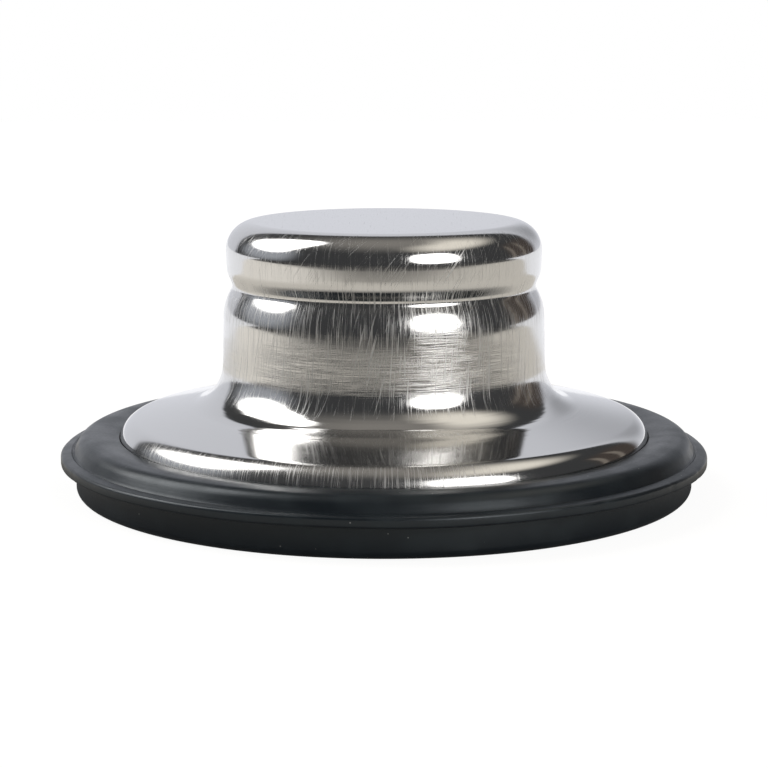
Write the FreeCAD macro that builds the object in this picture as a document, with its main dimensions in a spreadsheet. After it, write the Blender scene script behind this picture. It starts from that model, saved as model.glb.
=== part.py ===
"""Drain stopper of a kitchen sink: a pressed steel shell with a finger knob, in a moulded rubber gasket.

Both pieces are turned about the Z axis. Millimetres, +Z up, origin on the axis in the plane of the
gasket's base.
"""
import FreeCAD
import Part
import Sketcher
import math
import os

DRIVING_SIZES = {
    # The gasket's plug, which drops into the drain's throat
    "plug_radius": 40.5,
    "plug_depth": 4.2,
    "plug_round": 1.05,
    # The gasket's lip, which lies on the drain's flange
    "lip_overhang": 2.0,
    "lip_thickness": 1.3,
    "lip_fall": 0.15,
    "lip_round": 0.3,
    # The gasket's raised ring around the steel
    "ring_step": 0.3,
    "ring_taper": 1.1,
    "ring_height": 1.94,
    "ring_round": 1.8,
    "ring_dish": 0.4,
    # The gasket's inner groove, which holds the brim of the shell
    "gasket_wall": 2.1,
    "floor_thickness": 3.0,
    "floor_reach": 0.9,
    "fit_gap": 0.15,
    # The shell's sheet, its hidden brim and the rim above it
    "sheet_wall": 0.7,
    "brim_width": 3.5,
    "brim_bend": 0.6,
    "rim_show": 1.86,
    "rim_bend": 2.1,
    # The shell's flange and the body of the knob
    "flange_rise": 2.9,
    "neck_round": 5.6,
    "body_height": 12.5,
    "body_draft": 0.26,
    "brow_round": 7.0,
    # The finger groove and the cap that curls in over it
    "groove_height": 2.33,
    "groove_swell": 1.27,
    "groove_round": 1.1,
    "curl_height": 2.45,
    "curl_depth": 0.9,
    "curl_round": 8.5,
    "cap_height": 5.9,
    "cap_draft": 0.17,
    "cap_round": 3.7,
    "knob_radius": 20.77,
}

# Radii that both pieces share
BRIM_RADIUS = "(sizes.plug_radius - sizes.gasket_wall - sizes.fit_gap)"
RIM_RADIUS = f"({BRIM_RADIUS} - sizes.brim_width)"

# Heights, each one a step above the last
LIP_EDGE = "(sizes.plug_depth + sizes.lip_thickness)"
RING_FOOT = f"({LIP_EDGE} + sizes.lip_fall)"
RING_TOP = f"({RING_FOOT} + sizes.ring_height)"
RING_MOUTH = f"({RING_TOP} - sizes.ring_dish)"
BRIM_TOP = "(sizes.floor_thickness + sizes.sheet_wall)"
RIM_CORNER = f"({RING_MOUTH} + sizes.rim_show)"
NECK_CORNER = f"({RIM_CORNER} + sizes.flange_rise)"
BROW_CORNER = f"({NECK_CORNER} + sizes.body_height)"
GROOVE_CORNER = f"({BROW_CORNER} + sizes.groove_height)"
CURL_CORNER = f"({GROOVE_CORNER} + sizes.curl_height)"
KNOB_TOP = f"({CURL_CORNER} + sizes.cap_height)"

ON_AXIS = ON_BASE = None
START, END, CENTRE = range(1, 4)
H_AXIS, V_AXIS = range(-1, -3, -1)
ORIGIN = H_AXIS


def make_sheet(doc):
    """The spreadsheet of driving sizes, one alias to a row."""
    sheet = doc.addObject("Spreadsheet::Sheet", "sizes")
    for row, (name, value) in enumerate(DRIVING_SIZES.items(), start=1):
        sheet.set(f"A{row}", name)
        sheet.set(f"B{row}", str(value))
        sheet.setAlias(f"B{row}", name)
    doc.recompute()
    return sheet


class Outline:
    """A half section in the XZ plane, drawn with lines and tangent arcs that follow the spreadsheet."""

    def __init__(self, body, sheet, name):
        plane = next(p for p in body.Origin.OriginFeatures if p.Role == "XZ_Plane")
        self.sheet = sheet
        self.sketch = body.newObject("Sketcher::SketchObject", name)
        self.sketch.AttachmentSupport = [(plane, "")]
        self.sketch.MapMode = "FlatFace"

    def number(self, expression):
        return 0.0 if expression is None else float(self.sheet.evalExpression(expression))

    def bind(self, kind, *where, size):
        index = self.sketch.addConstraint(Sketcher.Constraint(kind, *where, self.number(size)))
        self.sketch.setExpression(f"Constraints[{index}]", size)

    def tie(self, kind, *where):
        self.sketch.addConstraint(Sketcher.Constraint(kind, *where))

    def pin_point(self, geometry, end, radius, height):
        """Holds a point at a radius and a height, where None is the axis or the base plane."""
        if radius is ON_AXIS:
            self.tie("PointOnObject", geometry, end, V_AXIS)
        else:
            self.bind("DistanceX", ORIGIN, START, geometry, end, size=radius)
        if height is ON_BASE:
            self.tie("PointOnObject", geometry, end, H_AXIS)
        else:
            self.bind("DistanceY", ORIGIN, START, geometry, end, size=height)

    def line(self, start, end):
        return self.sketch.addGeometry(Part.LineSegment(start, end))

    def arc(self, centre, start, end, turns_left):
        """An arc from start to end, and which of its own ends lie there."""
        if not turns_left:
            start, end = end, start
        angles = [math.atan2(p.y - centre.y, p.x - centre.x) for p in (start, end)]
        circle = Part.Circle(centre, FreeCAD.Vector(0, 0, 1), (start - centre).Length)
        arc = self.sketch.addGeometry(Part.ArcOfCircle(circle, *angles))
        return (arc, START, END) if turns_left else (arc, END, START)

    def chain(self, points, rounds):
        """Lines through the points, with a tangent arc at each inner point whose round is over zero."""
        steps = [(b - a).normalize() for a, b in zip(points, points[1:])]
        trims = [0.0]
        for step_in, step_out, radius in zip(steps, steps[1:], rounds[1:-1]):
            trims.append(radius * math.tan(step_in.getAngle(step_out) / 2))
        trims.append(0.0)
        lines = []
        for k, step in enumerate(steps):
            lines.append(self.line(points[k] + step * trims[k], points[k + 1] - step * trims[k + 1]))
        arcs = {}
        for k in range(1, len(steps)):
            if not trims[k]:
                self.tie("Coincident", lines[k - 1], END, lines[k], START)
                continue
            step_in, step_out = steps[k - 1], steps[k]
            turns_left = step_in.x * step_out.y > step_in.y * step_out.x
            side = FreeCAD.Vector(-step_in.y, step_in.x, 0) * (rounds[k] if turns_left else -rounds[k])
            start = points[k] - step_in * trims[k]
            arc, first, last = self.arc(start + side, start, points[k] + step_out * trims[k], turns_left)
            self.tie("Tangent", lines[k - 1], END, arc, first)
            self.tie("Tangent", arc, last, lines[k], START)
            arcs[k] = (arc, turns_left)
        return lines, arcs

    def trace(self, corners):
        """A chain through corners given as (radius, height, round), each a formula of sizes or None."""
        points = [FreeCAD.Vector(self.number(r), self.number(z), 0) for r, z, round_size in corners]
        lines, arcs = self.chain(points, [self.number(round_size) for r, z, round_size in corners])
        for k, (radius, height, round_size) in enumerate(corners):
            if k in arcs:
                corner = self.sketch.addGeometry(Part.Point(points[k]), True)
                self.tie("PointOnObject", corner, START, lines[k - 1])
                self.tie("PointOnObject", corner, START, lines[k])
                self.pin_point(corner, START, radius, height)
                self.bind("Radius", arcs[k][0], size=round_size)
            elif k < len(lines):
                self.pin_point(lines[k], START, radius, height)
            else:
                self.pin_point(lines[-1], END, radius, height)
        return points, lines, arcs

    def close(self, corners):
        """A closed outline that starts and ends at its first corner, which is left sharp."""
        points, lines, arcs = self.trace(corners)
        last = self.line(points[-1], points[0])
        self.tie("Coincident", lines[-1], END, last, START)
        self.tie("Coincident", last, END, lines[0], START)

    def thicken(self, corners, wall):
        """An open outline with a second one a wall inside it, their ends joined square across."""
        points, outer, arcs = self.trace(corners)
        depth = self.number(wall)
        steps = [(b - a).normalize() for a, b in zip(points, points[1:])]
        sides = [FreeCAD.Vector(s.y, -s.x, 0) * depth for s in steps]
        inner_points = [points[0] + sides[0]]
        inner_rounds = [0.0]
        for k in range(1, len(steps)):
            half_turn = steps[k - 1].getAngle(steps[k]) / 2
            inner_points.append(points[k] + (sides[k - 1] + sides[k]) / (2 * math.cos(half_turn) ** 2))
            radius = self.number(corners[k][2])
            inner_rounds.append(radius + depth if arcs[k][1] else radius - depth)
        inner_points.append(points[-1] + sides[-1])
        inner_rounds.append(0.0)
        inner, inner_arcs = self.chain(inner_points, inner_rounds)
        for k, (arc, turns_left) in inner_arcs.items():
            self.tie("Coincident", arc, CENTRE, arcs[k][0], CENTRE)
            sign = "+" if turns_left else "-"
            self.bind("Radius", arc, size=f"{corners[k][2]} {sign} {wall}")
        for far, near, end in ((inner[0], outer[0], START), (inner[-1], outer[-1], END)):
            across = self.line(*(self.sketch.getPoint(g, end) for g in (near, far)))
            self.tie("Coincident", near, end, across, START)
            self.tie("Coincident", far, end, across, END)
            self.tie("Parallel", near, far)
            self.tie("Perpendicular", near, across)


def turn(body, outline, name):
    """Turns a half section once round the Z axis."""
    turned = body.newObject("PartDesign::Revolution", name)
    turned.Profile = outline.sketch
    turned.ReferenceAxis = (outline.sketch, ["V_Axis"])
    turned.Angle = 360


def make_body(doc, name):
    body = doc.addObject("PartDesign::Body", name)
    body.Label = name
    body.Placement = FreeCAD.Placement()
    return body


def make_steel_shell(doc, sheet):
    """One sheet, drawn from the middle of the knob's top out to the edge of the hidden brim."""
    curl_radius = "(sizes.knob_radius - sizes.cap_draft)"
    groove_radius = f"({curl_radius} - sizes.curl_depth)"
    brow_radius = f"({groove_radius} + sizes.groove_swell)"
    neck_radius = f"({brow_radius} + sizes.body_draft)"
    corners = [
        (ON_AXIS, KNOB_TOP, None),
        ("sizes.knob_radius", KNOB_TOP, "sizes.cap_round"),
        (curl_radius, CURL_CORNER, "sizes.curl_round"),
        (groove_radius, GROOVE_CORNER, "sizes.groove_round"),
        (brow_radius, BROW_CORNER, "sizes.brow_round"),
        (neck_radius, NECK_CORNER, "sizes.neck_round"),
        (RIM_RADIUS, RIM_CORNER, "sizes.rim_bend + sizes.sheet_wall"),
        (RIM_RADIUS, BRIM_TOP, "sizes.brim_bend"),
        (BRIM_RADIUS, BRIM_TOP, None),
    ]
    body = make_body(doc, "steel_shell")
    outline = Outline(body, sheet, "shell_section")
    outline.thicken(corners, "sizes.sheet_wall")
    turn(body, outline, "shell_drawing")
    return body


def make_rubber_gasket(doc, sheet):
    """A ring with a plug below, a lip round its waist, and a groove inside that grips the brim."""
    bore = f"{RIM_RADIUS} - sizes.floor_reach"
    groove = f"{BRIM_RADIUS} + sizes.fit_gap"
    mouth = f"{RIM_RADIUS} + sizes.fit_gap"
    groove_top = f"{BRIM_TOP} + sizes.fit_gap"
    lip_radius = "sizes.plug_radius + sizes.lip_overhang"
    ring_radius = "sizes.plug_radius + sizes.ring_step"
    corners = [
        (bore, ON_BASE, None),
        ("sizes.plug_radius", ON_BASE, "sizes.plug_round"),
        ("sizes.plug_radius", "sizes.plug_depth", None),
        (lip_radius, "sizes.plug_depth", "sizes.lip_round"),
        (lip_radius, LIP_EDGE, "sizes.lip_round"),
        (ring_radius, RING_FOOT, None),
        (f"{ring_radius} - sizes.ring_taper", RING_TOP, "sizes.ring_round"),
        (mouth, RING_MOUTH, None),
        (mouth, groove_top, "sizes.brim_bend - sizes.fit_gap"),
        (groove, groove_top, None),
        (groove, "sizes.floor_thickness", None),
        (bore, "sizes.floor_thickness", None),
    ]
    body = make_body(doc, "rubber_gasket")
    outline = Outline(body, sheet, "gasket_section")
    outline.close(corners)
    turn(body, outline, "gasket_moulding")
    return body


def check(doc, bodies):
    """Stops with a message where an object failed or a piece isn't one sound solid."""
    for item in doc.Objects:
        if {"Invalid", "Error"} & set(item.State):
            raise RuntimeError(f"{item.Name} failed: {item.State}")
        if item.isDerivedFrom("Sketcher::SketchObject") and not item.FullyConstrained:
            raise RuntimeError(f"{item.Name} isn't fully constrained")
    for body in bodies:
        if body.Shape.isNull() or not body.Shape.isValid() or len(body.Shape.Solids) != 1:
            raise RuntimeError(f"{body.Label} isn't one valid solid")


def main():
    doc = FreeCAD.newDocument("drain_stopper")
    sheet = make_sheet(doc)
    bodies = [make_steel_shell(doc, sheet), make_rubber_gasket(doc, sheet)]
    doc.recompute()
    check(doc, bodies)
    os.makedirs("parts", exist_ok=True)
    for body in bodies:
        body.Shape.exportStep(f"parts/{body.Label}.step")
        box = body.Shape.optimalBoundingBox(True, False)
        print(f"{body.Label}: {body.Shape.Volume:.1f} mm3, z {box.ZMin:.2f} to {box.ZMax:.2f},"
              f" diameter {box.XLength:.2f}")


main()
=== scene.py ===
# %% [markdown]
# # A drain stopper of polished steel and black rubber
#
# The stopper closes the wide drain of a kitchen sink. It is two pieces: a pressed steel shell, which is
# the knob and the sloping flange, and a rubber gasket that grips the shell's brim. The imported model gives
# the size and place of both. This lesson gives them their finish: the rounds of pressed sheet, the hairline
# scratches of handled steel, and the dull bloom of moulded rubber.

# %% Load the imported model
import math

import bmesh
import bpy
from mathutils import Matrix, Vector, noise


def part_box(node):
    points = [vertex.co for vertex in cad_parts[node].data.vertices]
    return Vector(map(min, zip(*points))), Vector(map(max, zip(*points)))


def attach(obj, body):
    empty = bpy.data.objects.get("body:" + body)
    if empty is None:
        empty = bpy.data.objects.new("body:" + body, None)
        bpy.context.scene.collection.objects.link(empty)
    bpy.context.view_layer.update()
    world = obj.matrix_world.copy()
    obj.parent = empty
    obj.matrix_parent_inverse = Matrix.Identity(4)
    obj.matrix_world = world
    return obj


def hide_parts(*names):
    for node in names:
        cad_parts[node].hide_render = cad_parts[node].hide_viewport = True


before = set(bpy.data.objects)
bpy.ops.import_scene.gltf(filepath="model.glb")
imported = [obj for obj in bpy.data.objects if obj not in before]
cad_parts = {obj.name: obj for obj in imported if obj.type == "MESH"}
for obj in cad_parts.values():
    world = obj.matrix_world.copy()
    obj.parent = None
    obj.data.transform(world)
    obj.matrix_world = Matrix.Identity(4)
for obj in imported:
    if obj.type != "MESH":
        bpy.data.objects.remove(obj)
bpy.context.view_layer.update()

MM = 0.001
scene = bpy.context.scene
scene.view_settings.view_transform = "Standard"
shell_low, shell_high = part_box("steel_shell")
gasket_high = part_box("rubber_gasket")[1]
print("nodes:", sorted(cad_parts), "knob top at", round(shell_high.z / MM, 2), "mm")

# %% [markdown]
# ## The camera
#
# The photograph looks down on the stopper by ten degrees, from close enough that the near edge of the gasket
# bulges. A camera can be placed by eye, but the two ellipses of the gasket and the knob fix it better: their
# widths give the distance, and their heights give the angle. The lens then sets how large the object is.

# %% Place the camera
CAMERA_DOWN = math.radians(9.99)
CAMERA_DISTANCE = 283.5 * MM
AIM_HEIGHT = 13.46 * MM
LENS = 100.65
SENSOR_WIDTH = 36.0
NEAREST_SEEN = 10 * MM

camera_data = bpy.data.cameras.new("camera")
camera_data.lens = LENS
camera_data.sensor_width = SENSOR_WIDTH
camera_data.clip_start = NEAREST_SEEN
camera = bpy.data.objects.new("camera", camera_data)
camera.location = (
    0,
    -CAMERA_DISTANCE * math.cos(CAMERA_DOWN),
    AIM_HEIGHT + CAMERA_DISTANCE * math.sin(CAMERA_DOWN),
)
camera.rotation_euler = (math.pi / 2 - CAMERA_DOWN, 0, 0)
scene.collection.objects.link(camera)
scene.camera = camera
print("camera at", [round(c / MM, 1) for c in camera.location], "mm")

# %% [markdown]
# ## Drawing a half section
#
# Both pieces are turned shapes, so each starts as a half section in the XZ plane. It could be a curve object,
# but a chain of bmesh edges can be spun at once. The pen below walks from corner to corner: a straight run is
# an extruded vertex, moved in short equal steps, and a round is the same vertex spun about the round's
# centre. The steps stay short because a mirror finish shows every jump of the surface normal.

# %% A pen for half sections
RUN_STEP = 0.45 * MM
ARC_STEP = math.radians(4)
ARC_CHORD = 0.1 * MM
FEWEST_ARC_STEPS = 3


def draw_run(mesh, vertex, end):
    """Extrudes the vertex to end in short equal steps and returns the last one."""
    way = end - vertex.co
    count = max(1, math.ceil(way.length / RUN_STEP))
    for _ in range(count):
        vertex = bmesh.ops.extrude_vert_indiv(mesh, verts=[vertex])["verts"][0]
        bmesh.ops.translate(mesh, verts=[vertex], vec=way / count)
    return vertex


def draw_round(mesh, vertex, arriving, leaving, radius):
    """Spins the vertex about a round's centre, from one direction to the next."""
    axis = arriving.cross(leaving).normalized()
    turn = arriving.angle(leaving)
    made = bmesh.ops.spin(
        mesh,
        geom=[vertex],
        cent=vertex.co + axis.cross(arriving) * radius,
        axis=axis,
        angle=turn,
        steps=max(FEWEST_ARC_STEPS, math.ceil(min(turn / ARC_STEP, turn * radius / ARC_CHORD))),
    )
    return next(item for item in made["geom_last"] if isinstance(item, bmesh.types.BMVert))


def draw_section(mesh, corners):
    """Draws a chain of edges through (radius, height, round) corners, in millimetres."""
    points = [Vector((radius, 0, height)) * MM for radius, height, _ in corners]
    vertex = bmesh.ops.create_vert(mesh, co=points[0])["vert"][0]
    for index in range(1, len(points) - 1):
        arriving = (points[index] - points[index - 1]).normalized()
        leaving = (points[index + 1] - points[index]).normalized()
        rounding = corners[index][2] * MM
        trim = rounding * math.tan(arriving.angle(leaving) / 2)
        vertex = draw_run(mesh, vertex, points[index] - arriving * trim)
        if rounding:
            vertex = draw_round(mesh, vertex, arriving, leaving, rounding)
    draw_run(mesh, vertex, points[-1])
    print("section of", len(mesh.verts), "points through", len(corners), "corners")


# %% Turn a section into a body
MERGE_GAP = 0.002 * MM


def turn_section(mesh, segments):
    """Spins all edges a full turn about the Z axis and closes the seam and the poles."""
    bmesh.ops.spin(
        mesh,
        geom=mesh.verts[:] + mesh.edges[:],
        cent=(0, 0, 0),
        axis=(0, 0, 1),
        angle=math.tau,
        steps=segments,
        use_merge=True,
    )
    bmesh.ops.remove_doubles(mesh, verts=mesh.verts[:], dist=MERGE_GAP)
    bmesh.ops.recalc_face_normals(mesh, faces=mesh.faces[:])


# %% Make a finished piece of a mesh
SHARP_ANGLE = math.radians(40)


def finish_piece(mesh, name, body, node):
    """Makes the object, shades it smooth and puts it in the node's place on its body."""
    data = bpy.data.meshes.new(name)
    for face in mesh.faces:
        face.smooth = True
    mesh.to_mesh(data)
    mesh.free()
    data.set_sharp_from_angle(angle=SHARP_ANGLE)
    piece = bpy.data.objects.new(name, data)
    scene.collection.objects.link(piece)
    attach(piece, body)
    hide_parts(node)
    data.calc_loop_triangles()
    print(name, len(data.loop_triangles), "triangles")
    return piece


# %% [markdown]
# ## The steel shell
#
# The shell is one sheet of steel, pressed and rolled: a flat-topped cap with a wide round, a groove for the
# finger tips, a brow, a body that widens a little downwards, and a hollow sweep into the flange. It could be
# carved from a cylinder with loop cuts, but a spun section keeps every round exact. The sheet then gets its
# thickness inwards, so the shell is hollow from below, as the real one is.

# %% Model the steel shell
SHELL_SEGMENTS = 192
SHEET_WALL = 0.7
BRIM_WIDTH = 3.5
RIM_HEIGHT = 5.35
KNOB_TOP = shell_high.z / MM
BRIM_RADIUS = shell_high.x / MM
BRIM_TOP = shell_low.z / MM + SHEET_WALL
RIM_RADIUS = BRIM_RADIUS - BRIM_WIDTH

shell_corners = [
    # (radius, height, round), from the knob's top down to the brim
    (0, KNOB_TOP, 0),
    (20.77, KNOB_TOP, 3.7),  # the cap's edge
    (20.50, KNOB_TOP - 6.50, 3.4),  # the curl under the cap
    (19.70, KNOB_TOP - 8.35, 1.1),  # the finger groove
    (20.97, KNOB_TOP - 10.68, 7.0),  # the brow
    (21.12, KNOB_TOP - 17.60, 25.0),  # the body's slow turn outwards
    (21.38, KNOB_TOP - 23.18, 5.6),  # the neck
    (RIM_RADIUS, BRIM_TOP + RIM_HEIGHT, 2.8),  # the flange's rim
    (RIM_RADIUS, BRIM_TOP, 0.6),  # the bend into the brim
    (BRIM_RADIUS, BRIM_TOP, 0),
]

shell_mesh = bmesh.new()
draw_section(shell_mesh, shell_corners)
turn_section(shell_mesh, SHELL_SEGMENTS)
top_face = max(shell_mesh.faces, key=lambda face: face.calc_center_median().z)
if top_face.normal.z < 0:
    bmesh.ops.reverse_faces(shell_mesh, faces=shell_mesh.faces[:])
bmesh.ops.solidify(shell_mesh, geom=shell_mesh.faces[:], thickness=SHEET_WALL * MM)
shell = finish_piece(shell_mesh, "stopper_shell", "shell", "steel_shell")

# %% [markdown]
# ## The rubber gasket
#
# The gasket is one moulding: a plug that drops into the drain, a thin sealing lip, a raised ring with a low
# domed top and a fine groove at its foot, and a wide groove inside that holds the brim. It could be three
# rings joined together, but its section is one closed loop, so a single spin gives a closed body. A real lip
# is trimmed by hand and is never quite true, so a slow noise moves its edge in afterwards, a few nicks go a
# little deeper, and it wavers up and down and sags at the two sides. It never moves outwards, so the size
# stays.

# %% Model the rubber gasket
GASKET_SEGMENTS = 384
LIP_OVERHANG = 2.0
LIP_UNDERSIDE = 4.2
LIP_TOP = 5.5
LIP_RISE = 0.12
FOOT_GROOVE_WIDTH = 0.3
FOOT_GROOVE_DEPTH = 0.15
RING_STEP = 0.3
SHOULDER_INSET = 1.05
SHOULDER_HEIGHT = 7.38
CROWN_INSET = 3.3
CROWN_HEIGHT = 7.62
SEAT_HEIGHT = 7.22
LEDGE_TOP = 3.0
LEDGE_REACH = 0.9
GRIP_GAP = 0.04
LIP_RADIUS = gasket_high.x / MM
PLUG_RADIUS = LIP_RADIUS - LIP_OVERHANG
RING_FOOT_RADIUS = PLUG_RADIUS + RING_STEP
BORE_RADIUS = RIM_RADIUS - LEDGE_REACH
SEAT_RADIUS = RIM_RADIUS + GRIP_GAP
GROOVE_RADIUS = BRIM_RADIUS + GRIP_GAP
GROOVE_TOP = BRIM_TOP + GRIP_GAP

gasket_corners = [
    # (radius, height, round), from the bore round the outside and back through the groove
    (BORE_RADIUS, LEDGE_TOP, 0),
    (BORE_RADIUS, 0, 0.3),
    (PLUG_RADIUS, 0, 1.05),
    (PLUG_RADIUS, LIP_UNDERSIDE, 0.12),
    (LIP_RADIUS, LIP_UNDERSIDE, 0.3),
    (LIP_RADIUS, LIP_TOP, 0.4),
    (RING_FOOT_RADIUS + FOOT_GROOVE_WIDTH, LIP_TOP + LIP_RISE, 0.1),
    (RING_FOOT_RADIUS, LIP_TOP - FOOT_GROOVE_DEPTH, 0.1),
    (RING_FOOT_RADIUS - SHOULDER_INSET, SHOULDER_HEIGHT, 1.9),
    (RING_FOOT_RADIUS - CROWN_INSET, CROWN_HEIGHT, 5.0),
    (SEAT_RADIUS, SEAT_HEIGHT, 0.2),
    (SEAT_RADIUS, GROOVE_TOP, 0.5),
    (GROOVE_RADIUS, GROOVE_TOP, 0),
    (GROOVE_RADIUS, LEDGE_TOP, 0),
    (BORE_RADIUS, LEDGE_TOP, 0),
]

gasket_mesh = bmesh.new()
draw_section(gasket_mesh, gasket_corners)
bmesh.ops.remove_doubles(gasket_mesh, verts=gasket_mesh.verts[:], dist=MERGE_GAP)
turn_section(gasket_mesh, GASKET_SEGMENTS)

# %% Trim the lip by hand
LIP_WANDER = 0.12 * MM
LIP_NICK = 0.9 * MM
LIP_WAVE = 0.1 * MM
LIP_DROOP = 0.42 * MM
LEFT_DROOP_SHARE = 0.5
DROOP_POWER = 4
NICK_THRESHOLD = 0.4
# waves to a radian and the seed of each noise
WANDER_NOISE = (5.0, 0.0)
NICK_NOISE = (24.0, 4.0)
WAVE_NOISE = (3.0, 8.0)


def lip_noise(direction, waves, seed):
    """Noise from -1 to 1 round the axis, with about this many waves to a radian."""
    return noise.noise(Vector((direction.x * waves, direction.y * waves, seed)))


def trim_lip(mesh):
    """Moves the lip's edge in, and a little up and down, more the further out a point is."""
    for vertex in mesh.verts:
        flat = vertex.co.xy
        reach = (flat.length / MM - RING_FOOT_RADIUS) / (LIP_RADIUS - RING_FOOT_RADIUS)
        if reach <= 0:
            continue
        way = flat.normalized()
        wander = LIP_WANDER * (0.5 + 0.5 * lip_noise(way, *WANDER_NOISE))
        nick = LIP_NICK * max(0.0, lip_noise(way, *NICK_NOISE) - NICK_THRESHOLD)
        droop = LIP_DROOP * way.x ** DROOP_POWER * (1.0 if way.x > 0 else LEFT_DROOP_SHARE)
        vertex.co.xy -= way * reach * (wander + nick)
        vertex.co.z += reach * (LIP_WAVE * lip_noise(way, *WAVE_NOISE) - droop)


trim_lip(gasket_mesh)
gasket = finish_piece(gasket_mesh, "stopper_gasket", "gasket", "rubber_gasket")

# %% [markdown]
# ## Small helpers for node trees
#
# A material is a graph, and a long script of nodes is hard to read. These helpers add a node, link or set a
# socket, and do sums, so that the recipes below read almost like formulas. Patterns that both finishes use
# are node groups: they are built once, with named inputs, and each material gives its own values.

# %% Nodes, links and sums


def add_node(tree, kind, **settings):
    """Adds a node and sets its properties."""
    node = tree.nodes.new(kind)
    for name, value in settings.items():
        setattr(node, name, value)
    return node


def connect(tree, source, target):
    """Links an output to an input, or sets the input where the source is a plain value."""
    if isinstance(source, bpy.types.NodeSocket):
        tree.links.new(source, target)
    else:
        target.default_value = source


def calculate(tree, operation, *values):
    """A Math node with these values or links, and its result."""
    node = add_node(tree, "ShaderNodeMath", operation=operation)
    for value, socket in zip(values, node.inputs):
        connect(tree, value, socket)
    return node.outputs[0]


def vary(tree, operation, first, second=None):
    """A Vector Math node with one or two vectors, or a vector and a scale, and its result."""
    node = add_node(tree, "ShaderNodeVectorMath", operation=operation)
    connect(tree, first, node.inputs[0])
    if second is not None:
        connect(tree, second, node.inputs["Scale" if operation == "SCALE" else 1])
    return node.outputs["Value" if operation in ("LENGTH", "DOT_PRODUCT") else "Vector"]


# %% Ramps, mixes and bumps


def ramp(tree, value, start, end, low=0.0, high=1.0):
    """A smooth step from low to high while the value goes from start to end."""
    node = add_node(tree, "ShaderNodeMapRange", interpolation_type="SMOOTHSTEP")
    for source, name in ((value, "Value"), (start, "From Min"), (end, "From Max"),
                         (low, "To Min"), (high, "To Max")):
        connect(tree, source, node.inputs[name])
    return node.outputs["Result"]


def blend(tree, factor, first, second):
    """A colour between two colours."""
    node = add_node(tree, "ShaderNodeMix", data_type="RGBA")
    for source, name in ((factor, "Factor"), (first, "A"), (second, "B")):
        connect(tree, source, next(i for i in node.inputs if i.name == name and i.enabled))
    return next(o for o in node.outputs if o.enabled)


def add_layers(tree, base, layers):
    """The base with (pattern, mask, strength) layers added to it, each one the product of the three."""
    total = base
    for pattern, mask, strength in layers:
        masked = calculate(tree, "MULTIPLY", pattern, mask)
        total = calculate(tree, "ADD", total, calculate(tree, "MULTIPLY", masked, strength))
    return total


def add_bump(tree, shader, height, depth):
    """Bends the shader's normal by a height that is counted in this depth."""
    bump = add_node(tree, "ShaderNodeBump")
    bump.inputs["Strength"].default_value = 1.0
    bump.inputs["Distance"].default_value = depth
    connect(tree, height, bump.inputs["Height"])
    connect(tree, bump.outputs["Normal"], shader.inputs["Normal"])


# %% Groups and materials


def new_group(name, inputs, outputs):
    """An empty node group with these sockets, its inputs to read and its outputs to fill."""
    group = bpy.data.node_groups.new(name, "ShaderNodeTree")
    for side, sockets in (("INPUT", inputs), ("OUTPUT", outputs)):
        for socket, kind in sockets.items():
            group.interface.new_socket(socket, in_out=side, socket_type="NodeSocket" + kind)
    print("group", name, "puts out", ", ".join(outputs))
    return group, add_node(group, "NodeGroupInput").outputs, add_node(group, "NodeGroupOutput").inputs


def add_group(tree, group, values):
    """Places a node group, links or sets its inputs, and returns its outputs."""
    node = add_node(tree, "ShaderNodeGroup", node_tree=group)
    for name, value in values.items():
        connect(tree, value, node.inputs[name])
    return node.outputs


def new_material(name):
    """An empty node material, its tree, its Principled shader and the Object coordinates."""
    material = bpy.data.materials.new(name)
    material.use_nodes = True
    tree = material.node_tree
    tree.nodes.clear()
    shader = add_node(tree, "ShaderNodeBsdfPrincipled")
    output = add_node(tree, "ShaderNodeOutputMaterial")
    tree.links.new(shader.outputs["BSDF"], output.inputs["Surface"])
    place = add_node(tree, "ShaderNodeTexCoord").outputs["Object"]
    return material, tree, shader, place


# %% [markdown]
# ## Marks on a turned wall
#
# Scratches, spinning rings and mould lines all follow a turned wall: they run along it, round it or at a
# lean. A UV map could carry them, but the wall has a simple measure of its own: the radius less the height
# grows steadily from the knob's top to the rim. The group below stretches noise along that measure and round
# the axis, and the places where the noise is highest become separate marks.

# %% A group for marks on a turned wall
WALL_RADIUS = 21.0 * MM
NOISE_DETAIL = 1.0
NOISE_ROUGHNESS = 0.4


def add_noise(tree, place):
    """Soft noise at a place that is counted in steps."""
    grain = add_node(tree, "ShaderNodeTexNoise", noise_dimensions="3D")
    connect(tree, place, grain.inputs["Vector"])
    grain.inputs["Scale"].default_value = 1.0
    grain.inputs["Detail"].default_value = NOISE_DETAIL
    grain.inputs["Roughness"].default_value = NOISE_ROUGHNESS
    return grain.outputs["Fac"]


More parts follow.
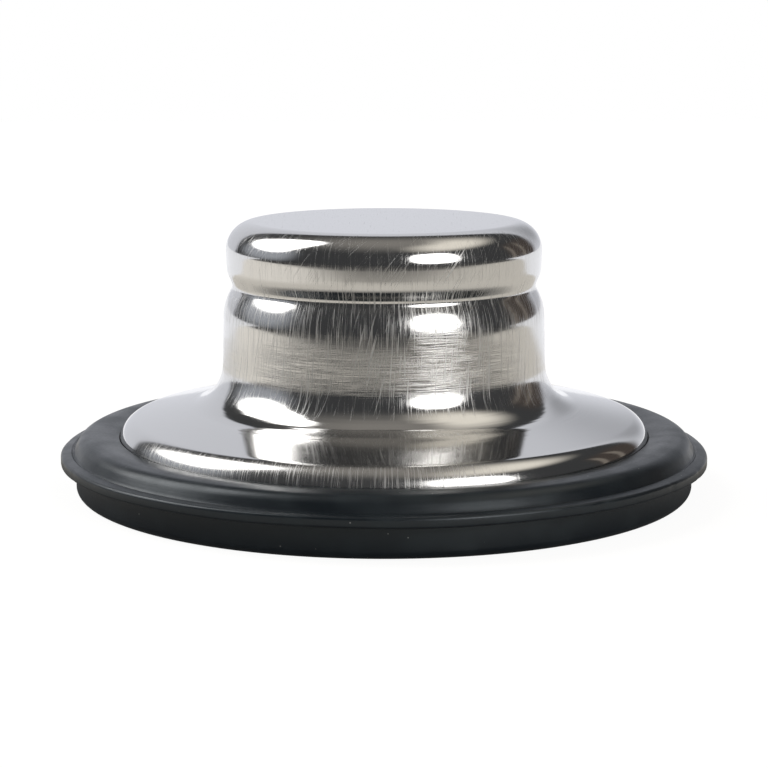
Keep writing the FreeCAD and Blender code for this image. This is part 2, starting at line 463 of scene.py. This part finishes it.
def make_wall_marks():
    """Marks on a turned wall: Width around it, Length along it, Lean in radians a metre."""
    sizes = ("Width", "Length", "Lean", "Low", "High")
    group, given, result = new_group(
        "wall_marks",
        {"Place": "Vector", **dict.fromkeys(sizes, "Float")},
        {"Grain": "Float", "Marks": "Float", "Along": "Float"},
    )
    flat = vary(group, "MULTIPLY", given["Place"], (1, 1, 0))
    height = add_node(group, "ShaderNodeSeparateXYZ")
    connect(group, given["Place"], height.inputs[0])
    along = calculate(group, "SUBTRACT", vary(group, "LENGTH", flat), height.outputs["Z"])
    lean = add_node(group, "ShaderNodeVectorRotate", rotation_type="Z_AXIS")
    connect(group, vary(group, "NORMALIZE", flat), lean.inputs["Vector"])
    connect(group, calculate(group, "MULTIPLY", along, given["Lean"]), lean.inputs["Angle"])
    steps_round = calculate(group, "DIVIDE", WALL_RADIUS, given["Width"])
    across = vary(group, "SCALE", lean.outputs["Vector"], steps_round)
    lift = add_node(group, "ShaderNodeCombineXYZ")
    connect(group, calculate(group, "DIVIDE", along, given["Length"]), lift.inputs["Z"])
    grain = add_noise(group, vary(group, "ADD", across, lift.outputs["Vector"]))
    connect(group, grain, result["Grain"])
    connect(group, ramp(group, grain, given["Low"], given["High"]), result["Marks"])
    connect(group, along, result["Along"])
    return group


wall_marks = make_wall_marks()


def add_wall_marks(tree, place, width, length, lean, low=0.0, high=1.0):
    """The wall_marks group with sizes in millimetres, and its outputs."""
    return add_group(tree, wall_marks, {
        "Place": place,
        "Width": width * MM,
        "Length": length * MM,
        "Lean": lean,
        "Low": low,
        "High": high,
    })


# %% Masks for parts of a piece


def add_scaled(tree, place, size, turn=(0, 0, 0), shift=(0, 0, 0)):
    """Object coordinates moved, turned by degrees and counted in steps of this size, in millimetres."""
    mapping = add_node(tree, "ShaderNodeMapping")
    connect(tree, place, mapping.inputs["Vector"])
    mapping.inputs["Location"].default_value = shift
    mapping.inputs["Rotation"].default_value = [math.radians(angle) for angle in turn]
    mapping.inputs["Scale"].default_value = [1 / (step * MM) for step in size]
    return mapping.outputs["Vector"]


def add_patches(tree, place, size, low, high, shift=(0, 0, 0)):
    """Soft patches of about this size, in millimetres."""
    return ramp(tree, add_noise(tree, add_scaled(tree, place, (size,) * 3, shift=shift)), low, high)


def add_band(tree, value, start, end, soft):
    """A mask that is 1 from start to end, with soft sides, in millimetres."""
    rise = ramp(tree, value, (start - soft) * MM, (start + soft) * MM)
    fall = ramp(tree, value, (end - soft) * MM, (end + soft) * MM, 1.0, 0.0)
    return calculate(tree, "MULTIPLY", rise, fall)


def add_sides(tree, place, turns, half_width, soft):
    """A mask of the sides that face these turns from the front, all in degrees."""
    around = vary(tree, "NORMALIZE", vary(tree, "MULTIPLY", place, (1, 1, 0)))
    outer, inner = (math.cos(math.radians(half_width + step)) for step in (soft, -soft))
    mask = 0.0
    for turn in turns:
        facing = (math.sin(math.radians(turn)), -math.cos(math.radians(turn)), 0)
        side = ramp(tree, vary(tree, "DOT_PRODUCT", around, facing), outer, inner)
        mask = calculate(tree, "MAXIMUM", mask, side)
    return mask


# %% [markdown]
# ## Polished steel with hairlines
#
# Steel has no colour of its own to speak of: it shows its surroundings. What makes it look handled is a web
# of hairlines: a dense upright grain on the knob, single upright and leaning strokes, and level hairs where
# the body and the place under the brow were rubbed. The flange is smoother, with faint rings from spinning,
# and its rim is brushed dull in places. A picture of scratches could be wrapped round it, but patterns of
# noise have no seam. Inside a stroke the surface is rough, so it gathers light from everywhere: it looks pale
# where the mirror is dark, and dark where the mirror is bright. So the strokes go into the roughness. The
# rings go into the bump, and the grain, the level hairs and broad waves of the sheet go into both, because
# they also tilt the surface and smear what it mirrors.

# %% Patterns of the steel
STROKES = {
    # name: (width and length in mm, lean in radians a metre, noise where a mark starts and is full)
    # the rings show only their noise, so they have no such limits
    "grain": (0.08, 5.0, 0.0, 0.48, 0.80),
    "upright": (0.15, 8.0, 2.5, 0.60, 0.75),
    "leaning": (0.14, 8.0, 11.0, 0.62, 0.75),
    "wiped": (0.12, 5.0, 33.0, 0.58, 0.75),
    "broad": (1.0, 14.0, 2.0, 0.4, 0.7),
    "rings": (14.0, 0.7, 0.0),
}
STRAIGHT_LINES = {
    # name: (size in mm, turn in degrees, noise where a line starts and is full)
    "hairs": ((6.0, 6.0, 0.06), (0, -5, 0), 0.42, 0.66),
    "top_lines": ((0.16, 5.0, 5.0), (0, 0, 30), 0.6, 0.75),
}


def steel_patterns(tree, place):
    """The marks of each kind by name, the noise behind the strokes, and the measure along the wall."""
    strokes = {name: add_wall_marks(tree, place, *sizes) for name, sizes in STROKES.items()}
    patterns = {"even": 1.0}
    for name, made in strokes.items():
        patterns[name] = made["Marks"]
        patterns[name + "_noise"] = made["Grain"]
    for name, (size, turn, low, high) in STRAIGHT_LINES.items():
        patterns[name] = ramp(tree, add_noise(tree, add_scaled(tree, place, size, turn)), low, high)
    print("steel patterns:", ", ".join((*STROKES, *STRAIGHT_LINES)))
    return patterns, strokes["grain"]["Along"]


# %% Where the steel is worn
BANDS = {
    # name: (start, end, softness) of the radius less the height, in mm
    "top": (-40.0, -18.0, 1.5),
    "cap": (-17.0, -6.0, 1.5),
    "brow": (-8.2, -1.5, 0.6),
    "knob": (-6.0, 9.5, 1.5),
    "under_brow": (-3.2, 1.5, 1.0),
    "body": (0.2, 6.0, 1.5),
    "flange": (9.0, 17.0, 2.0),
    "rim": (23.6, 32.0, 1.0),
}
WORN_SIDES = {
    # name: (turns from the front, half width, softness), in degrees
    "rubbed": ((4, 128, -112), 44, 20),
    "smeared": ((20, 150, -130), 9, 5),
    "brushed": ((-18, 160), 42, 14),
}
PATCHES = {
    # stroke: (band, patch size in mm, noise where a patch starts and is full, shift of the noise)
    "upright": ("knob", 9, 0.25, 0.5, (3, 1, 7)),
    "leaning": ("knob", 8, 0.45, 0.6, (5, 9, 2)),
    "wiped": ("cap", 6, 0.35, 0.6, (1, 4, 8)),
}
LEAST_GRAIN = 0.08
GRAIN_SHARES = {"knob": 0.6, "brow": 1.3, "cap": 0.6, "brushed": 0.8}
GRAIN_RUBBED_OFF = 0.3


def steel_masks(tree, place, along):
    """A mask for each part of the shell and for each kind of wear, by name."""
    masks = {name: add_band(tree, along, *band) for name, band in BANDS.items()}
    worn = {name: add_sides(tree, place, *sides) for name, sides in WORN_SIDES.items()}
    rubbed = calculate(tree, "MULTIPLY", masks["body"], worn["rubbed"])
    smeared = calculate(tree, "MULTIPLY", masks["under_brow"], worn["smeared"])
    masks["rubbed"] = calculate(tree, "MAXIMUM", rubbed, smeared)
    masks["brushed"] = calculate(tree, "MULTIPLY", masks["rim"], worn["brushed"])
    for name, (band, size, low, high, shift) in PATCHES.items():
        patches = add_patches(tree, place, size, low, high, shift)
        masks[name] = calculate(tree, "MULTIPLY", masks[band], patches)
    grainy = LEAST_GRAIN
    for name, share in GRAIN_SHARES.items():
        grainy = calculate(tree, "MAXIMUM", grainy, calculate(tree, "MULTIPLY", masks[name], share))
    kept = calculate(tree, "MULTIPLY_ADD", masks["rubbed"], -GRAIN_RUBBED_OFF, 1.0)
    masks["grainy"] = calculate(tree, "MULTIPLY", grainy, kept)
    print("steel masks:", ", ".join(masks))
    return masks


# %% The steel material
STEEL_COLOUR = (0.655, 0.65, 0.64, 1)
POLISH = 0.08
ROUGHEST = 0.62
HAIRLINE_DEPTH = 0.04 * MM
ROUGH_LAYERS = (
    # (pattern, mask, roughness added)
    ("grain", "grainy", 0.42),
    ("upright", "upright", 0.40),
    ("leaning", "leaning", 0.40),
    ("wiped", "wiped", 0.30),
    ("hairs", "rubbed", 0.10),
    ("broad", "body", 0.05),
    ("even", "knob", 0.02),
    ("even", "brushed", 0.12),
    ("top_lines", "top", 0.12),
)
HEIGHT_LAYERS = (
    # (pattern, mask, share of the hairline depth)
    ("hairs", "rubbed", 0.15),
    ("rings_noise", "flange", 0.5),
    ("grain_noise", "knob", 0.06),
    ("broad_noise", "knob", 0.25),
)


def pick_layers(layers, patterns, masks):
    """The layers with the patterns and masks that their names stand for."""
    return [(patterns[pattern], masks[mask], strength) for pattern, mask, strength in layers]


def make_steel():
    """Polished steel: the grain of the knob, single strokes, level hairs and the flange's rings."""
    material, tree, shader, place = new_material("polished_steel")
    patterns, along = steel_patterns(tree, place)
    masks = steel_masks(tree, place, along)
    roughness = add_layers(tree, POLISH, pick_layers(ROUGH_LAYERS, patterns, masks))
    connect(tree, calculate(tree, "MINIMUM", roughness, ROUGHEST), shader.inputs["Roughness"])
    height = add_layers(tree, 0.0, pick_layers(HEIGHT_LAYERS, patterns, masks))
    add_bump(tree, shader, height, HAIRLINE_DEPTH)
    shader.inputs["Base Color"].default_value = STEEL_COLOUR
    shader.inputs["Metallic"].default_value = 1.0
    return material


shell.data.materials.append(make_steel())
print("steel material on", shell.name)

# %% [markdown]
# ## Moulded black rubber
#
# Rubber for drains is black with a bluish bloom, the trace of wax that comes to its surface. It is neither
# glossy nor dull: light that grazes it turns it grey. The mould leaves a fine mottle and faint lines round
# the axis, and the rubber picks up specks of dust. One even black is simpler, but it looks like plastic.
# The bloom and the dust change the colour, the bloom and the mottle change the roughness, the mottle and the
# lines go into the bump, and all of them are faint.

# %% Patterns of the rubber
BLOOM_PATCH = (4.0, 0.35, 0.75)  # size in mm, and the noise where a patch starts and is full
MOTTLE_GRAIN = (0.35, 0.35, 0.35)
MOULD_LINES = (9.0, 0.3, 0.0)  # width and length in mm, and no lean
DUST_CELL = (2.4, 2.4, 2.4)
SPECK_EDGE = (0.02, 0.045)


def rubber_patterns(tree, place):
    """The bloom, the mottle, the mould lines and the specks of dust."""
    bloom = add_patches(tree, place, *BLOOM_PATCH)
    mottle = add_noise(tree, add_scaled(tree, place, MOTTLE_GRAIN))
    lines = add_wall_marks(tree, place, *MOULD_LINES)["Grain"]
    dust = add_node(tree, "ShaderNodeTexVoronoi")
    connect(tree, add_scaled(tree, place, DUST_CELL), dust.inputs["Vector"])
    dust.inputs["Scale"].default_value = 1.0
    specks = ramp(tree, dust.outputs["Distance"], *SPECK_EDGE, 1.0, 0.0)
    print("rubber patterns: bloom, mottle, lines, specks")
    return bloom, mottle, lines, specks


# %% The rubber material
RUBBER_COLOUR = (0.0055, 0.0088, 0.0125, 1)
BLOOM_COLOUR = (0.012, 0.018, 0.022, 1)
RUBBER_SHEEN = (0.88, 0.95, 1.0, 1)
DUST_COLOUR = (0.30, 0.30, 0.29, 1)
SPECULAR_LEVEL = 0.55
BLOOM_SHARE = 0.6
DUST_SHARE = 0.8
RUBBER_ROUGHNESS = 0.28
MOTTLE_ROUGHNESS = 0.1
BLOOM_ROUGHNESS = 0.08
MOULD_DEPTH = 0.012 * MM
MOULD_SHARE = 0.5


def make_rubber():
    """Half matt black rubber with bloom, mould lines, a mottle and dust."""
    material, tree, shader, place = new_material("black_rubber")
    bloom, mottle, lines, specks = rubber_patterns(tree, place)
    colour = blend(tree, calculate(tree, "MULTIPLY", bloom, BLOOM_SHARE), RUBBER_COLOUR, BLOOM_COLOUR)
    colour = blend(tree, calculate(tree, "MULTIPLY", specks, DUST_SHARE), colour, DUST_COLOUR)
    connect(tree, colour, shader.inputs["Base Color"])
    shader.inputs["Specular Tint"].default_value = RUBBER_SHEEN
    shader.inputs["Specular IOR Level"].default_value = SPECULAR_LEVEL
    roughness = calculate(tree, "MULTIPLY_ADD", mottle, MOTTLE_ROUGHNESS, RUBBER_ROUGHNESS)
    roughness = calculate(tree, "MULTIPLY_ADD", bloom, BLOOM_ROUGHNESS, roughness)
    connect(tree, roughness, shader.inputs["Roughness"])
    height = calculate(tree, "MULTIPLY", calculate(tree, "ADD", mottle, lines), MOULD_SHARE)
    add_bump(tree, shader, height, MOULD_DEPTH)
    return material


gasket.data.materials.append(make_rubber())
print("rubber material on", gasket.name)

# %% [markdown]
# ## The studio
#
# A mirror needs something to show. The studio is a world of soft panels, each given by the direction in which
# it stands: a large softbox on the left, a smaller one in front on the right, a pale backdrop behind, a warm
# glow high on the right, a few dimmer panels between them, and a dim room around them all. They could be
# lamps and planes, but a panel of the world has the same place for every point of a small object, which makes
# the reflections easy to plan. The camera itself sees plain white, and where the backdrop stands the steel
# shows a share of that white too.

# %% A soft panel of light
HALF_TURN = 180.0


def make_panel():
    """A mask that is 1 inside a rounded panel, given by its direction and half sizes in degrees."""
    names = ("Azimuth", "Elevation", "Centre azimuth", "Centre elevation",
             "Half width", "Half height", "Squareness", "Edge")
    group, given, result = new_group("soft_panel", dict.fromkeys(names, "Float"), {"Mask": "Float"})
    turn = calculate(group, "SUBTRACT", given["Azimuth"], given["Centre azimuth"])
    sides = (
        (calculate(group, "WRAP", turn, HALF_TURN, -HALF_TURN), given["Half width"]),
        (calculate(group, "SUBTRACT", given["Elevation"], given["Centre elevation"]), given["Half height"]),
    )
    shares = []
    for away, half in sides:
        share = calculate(group, "DIVIDE", calculate(group, "ABSOLUTE", away), half)
        shares.append(calculate(group, "POWER", share, given["Squareness"]))
    reach = calculate(group, "POWER", calculate(group, "ADD", *shares),
                      calculate(group, "DIVIDE", 1.0, given["Squareness"]))
    inner = calculate(group, "SUBTRACT", 1.0, given["Edge"])
    outer = calculate(group, "ADD", 1.0, given["Edge"])
    connect(group, ramp(group, reach, inner, outer, 1.0, 0.0), result["Mask"])
    return group


soft_panel = make_panel()

# %% The studio's panels
DIM_ROOM = (0.055, 0.056, 0.058, 1)
CEILING = (0.28, 0.265, 0.245, 1)
CEILING_SPAN = (40.0, 85.0)
WHITE = (1, 1, 1, 1)
MIRRORED_WHITE = 0.25
PANELS = {
    # name: (azimuth, elevation, half width, half height, squareness, edge, colour), angles in degrees
    "backdrop": (180, 5, 45.5, 39, 1.6, 0.05, (0.653, 0.672, 0.747, 1)),
    "backdrop_dusk": (158, 15, 14, 11, 2, 0.8, (0.40, 0.41, 0.44, 1)),
    "side_haze": (-98, 18, 26, 18, 2.6, 0.4, (0.42, 0.44, 0.48, 1)),
    "brown_side": (122, 8, 18, 22, 4, 0.3, (0.075, 0.062, 0.055, 1)),
    "near_stripe": (108, 8, 2, 18, 6, 0.3, (0.25, 0.22, 0.19, 1)),
    "far_stripe": (122, 8, 2, 18, 6, 0.3, (0.25, 0.22, 0.19, 1)),
    "warm_glow": (87, 58, 50, 12.5, 2.6, 0.6, (1.05, 0.99, 0.88, 1)),
    "left_softbox": (-105, 43.5, 24.5, 22.5, 2.6, 0.16, (4.6, 4.55, 4.5, 1)),
    "right_softbox": (38.2, 21.5, 18.8, 17.5, 2.6, 0.12, (4.2, 4.15, 4.1, 1)),
}


def add_panels(tree):
    """The studio's colour in the ray's direction, and a mask of the backdrop where nothing hides it."""
    ray = add_node(tree, "ShaderNodeSeparateXYZ")
    connect(tree, add_node(tree, "ShaderNodeTexCoord").outputs["Generated"], ray.inputs[0])
    front = calculate(tree, "MULTIPLY", ray.outputs["Y"], -1.0)
    azimuth = calculate(tree, "DEGREES", calculate(tree, "ARCTAN2", ray.outputs["X"], front))
    elevation = calculate(tree, "DEGREES", calculate(tree, "ARCSINE", ray.outputs["Z"]))
    colour = blend(tree, ramp(tree, elevation, *CEILING_SPAN), DIM_ROOM, CEILING)
    backdrop = 1.0
    for name, (turn, lift, half_width, half_height, squareness, edge, light) in PANELS.items():
        mask = add_group(tree, soft_panel, {
            "Azimuth": azimuth, "Elevation": elevation, "Centre azimuth": turn, "Centre elevation": lift,
            "Half width": half_width, "Half height": half_height, "Squareness": squareness, "Edge": edge,
        })["Mask"]
        colour = blend(tree, mask, colour, light)
        shown = mask if name == "backdrop" else calculate(tree, "SUBTRACT", 1.0, mask)
        backdrop = calculate(tree, "MULTIPLY", backdrop, shown)
    return colour, backdrop


# %% Build the studio world


def mix_shaders(tree, share, first, second):
    """A share of the second shader over the first one."""
    node = add_node(tree, "ShaderNodeMixShader")
    connect(tree, share, node.inputs["Fac"])
    connect(tree, first, node.inputs[1])
    connect(tree, second, node.inputs[2])
    return node.outputs["Shader"]


def add_light_path(tree):
    """What a ray is: 1 for one from the camera, and 1 for one that steel or glass sends on."""
    light = add_node(tree, "ShaderNodeLightPath").outputs
    in_steel = calculate(tree, "MAXIMUM", light["Is Glossy Ray"], light["Is Transmission Ray"])
    return light["Is Camera Ray"], in_steel


def shine(tree, colour):
    """A background of this colour."""
    node = add_node(tree, "ShaderNodeBackground")
    connect(tree, colour, node.inputs["Color"])
    return node.outputs["Background"]


def build_world():
    """Light and reflections from the panels, and plain white for the camera."""
    world = bpy.data.worlds.new("studio")
    scene.world = world
    world.use_nodes = True
    tree = world.node_tree
    tree.nodes.clear()
    colour, backdrop = add_panels(tree)
    from_camera, in_steel = add_light_path(tree)
    mirrored = calculate(tree, "MULTIPLY", calculate(tree, "MULTIPLY", in_steel, backdrop), MIRRORED_WHITE)
    share = calculate(tree, "MAXIMUM", from_camera, mirrored)
    surface = mix_shaders(tree, share, shine(tree, colour), shine(tree, WHITE))
    output = add_node(tree, "ShaderNodeOutputWorld")
    connect(tree, surface, output.inputs["Surface"])


build_world()
print("studio panels:", ", ".join(PANELS))

# %% [markdown]
# ## The floor
#
# The stopper stands on a pale table. The camera should see it white, with only the object's soft shadow. The
# steel should see a beige table with painted light, brighter on the left where the softbox lights it, with a
# round edge painted dark towards the dim room in front and painted shade close to the object, that ends under
# a white sheet behind. One plane does both: it is matt, and a glow is laid over it, of one colour for the
# camera and of another, painted light, for what the steel mirrors.

# %% Colours of the table
FLOOR_COLOUR = (0.72, 0.70, 0.66, 1)
# painted light: the mirrored table is brighter on the left, where the left softbox lights it, and dimmer to
# the right
TABLE_PAINTED_LIT_LEFT = (1.10, 1.06, 0.99, 1)
TABLE_PAINTED_DIM_RIGHT = (0.80, 0.765, 0.70, 1)
PAINTED_LIGHT_SPAN = (-170 * MM, -50 * MM)
# painted dark: past the table's round edge the floor is coloured to stand for the dim room in front
TABLE_EDGE_PAINTED_DARK = (0.08, 0.08, 0.08, 1)
TABLE_CENTRE = (0, 122 * MM, 0)
TABLE_EDGE = (266 * MM, 300 * MM)
# painted shade on the mirrored table close to the object
SHADE_COLOUR = (0.16, 0.16, 0.16, 1)
SHADE_SPAN = (42 * MM, 66 * MM)
SHEET_COLOUR = (1.03, 1.04, 1.08, 1)
SHEET_START = (88 * MM, 106 * MM)
# half of the mirrored table is a glow of these colours: painted light
MIRRORED_GLOW_SHARE = 0.5


def matt(tree, colour):
    """A matt surface of this colour."""
    node = add_node(tree, "ShaderNodeBsdfDiffuse")
    connect(tree, colour, node.inputs["Color"])
    return node.outputs["BSDF"]


def glow(tree, colour, strength=1.0):
    """A glow of this colour."""
    node = add_node(tree, "ShaderNodeEmission")
    connect(tree, colour, node.inputs["Color"])
    node.inputs["Strength"].default_value = strength
    return node.outputs["Emission"]


def add_table(tree, place):
    """The table and the sheet behind it, as the steel mirrors them, with painted light, painted shade and a
    painted dark edge.
    """
    spot = add_node(tree, "ShaderNodeSeparateXYZ")
    connect(tree, place, spot.inputs[0])
    # painted light, brighter on the left
    table = blend(tree, ramp(tree, spot.outputs["X"], *PAINTED_LIGHT_SPAN), TABLE_PAINTED_LIT_LEFT, TABLE_PAINTED_DIM_RIGHT)
    outwards = vary(tree, "LENGTH", vary(tree, "SUBTRACT", place, TABLE_CENTRE))
    # painted dark past the table's edge
    table = blend(tree, ramp(tree, outwards, *TABLE_EDGE), table, TABLE_EDGE_PAINTED_DARK)
    from_object = vary(tree, "LENGTH", place)
    # painted shade close to the object
    table = blend(tree, ramp(tree, from_object, *SHADE_SPAN), SHADE_COLOUR, table)
    mirrored = mix_shaders(tree, MIRRORED_GLOW_SHARE, matt(tree, table), glow(tree, table))
    behind = ramp(tree, spot.outputs["Y"], *SHEET_START)
    return mix_shaders(tree, behind, mirrored, glow(tree, SHEET_COLOUR))


# %% Lay the floor
FLOOR_HALF_SIZE = 0.9
CAMERA_GLOW = 1.16
CAMERA_SHARE = 0.8


def make_floor():
    """A pale table top that the camera sees nearly white, with a soft shadow."""
    mesh = bmesh.new()
    bmesh.ops.create_grid(mesh, x_segments=1, y_segments=1, size=FLOOR_HALF_SIZE)
    data = bpy.data.meshes.new("floor")
    mesh.to_mesh(data)
    mesh.free()
    floor = bpy.data.objects.new("floor", data)
    scene.collection.objects.link(floor)
    material, tree, shader, place = new_material("pale_floor")
    tree.nodes.remove(shader)
    from_camera, in_steel = add_light_path(tree)
    seen = mix_shaders(tree, CAMERA_SHARE, matt(tree, FLOOR_COLOUR), glow(tree, WHITE, CAMERA_GLOW))
    surface = mix_shaders(tree, in_steel, matt(tree, FLOOR_COLOUR), add_table(tree, place))
    surface = mix_shaders(tree, from_camera, surface, seen)
    output = next(node for node in tree.nodes if node.type == "OUTPUT_MATERIAL")
    connect(tree, surface, output.inputs["Surface"])
    data.materials.append(material)
    return floor


floor = make_floor()
print("floor", floor.dimensions.x, "m wide")
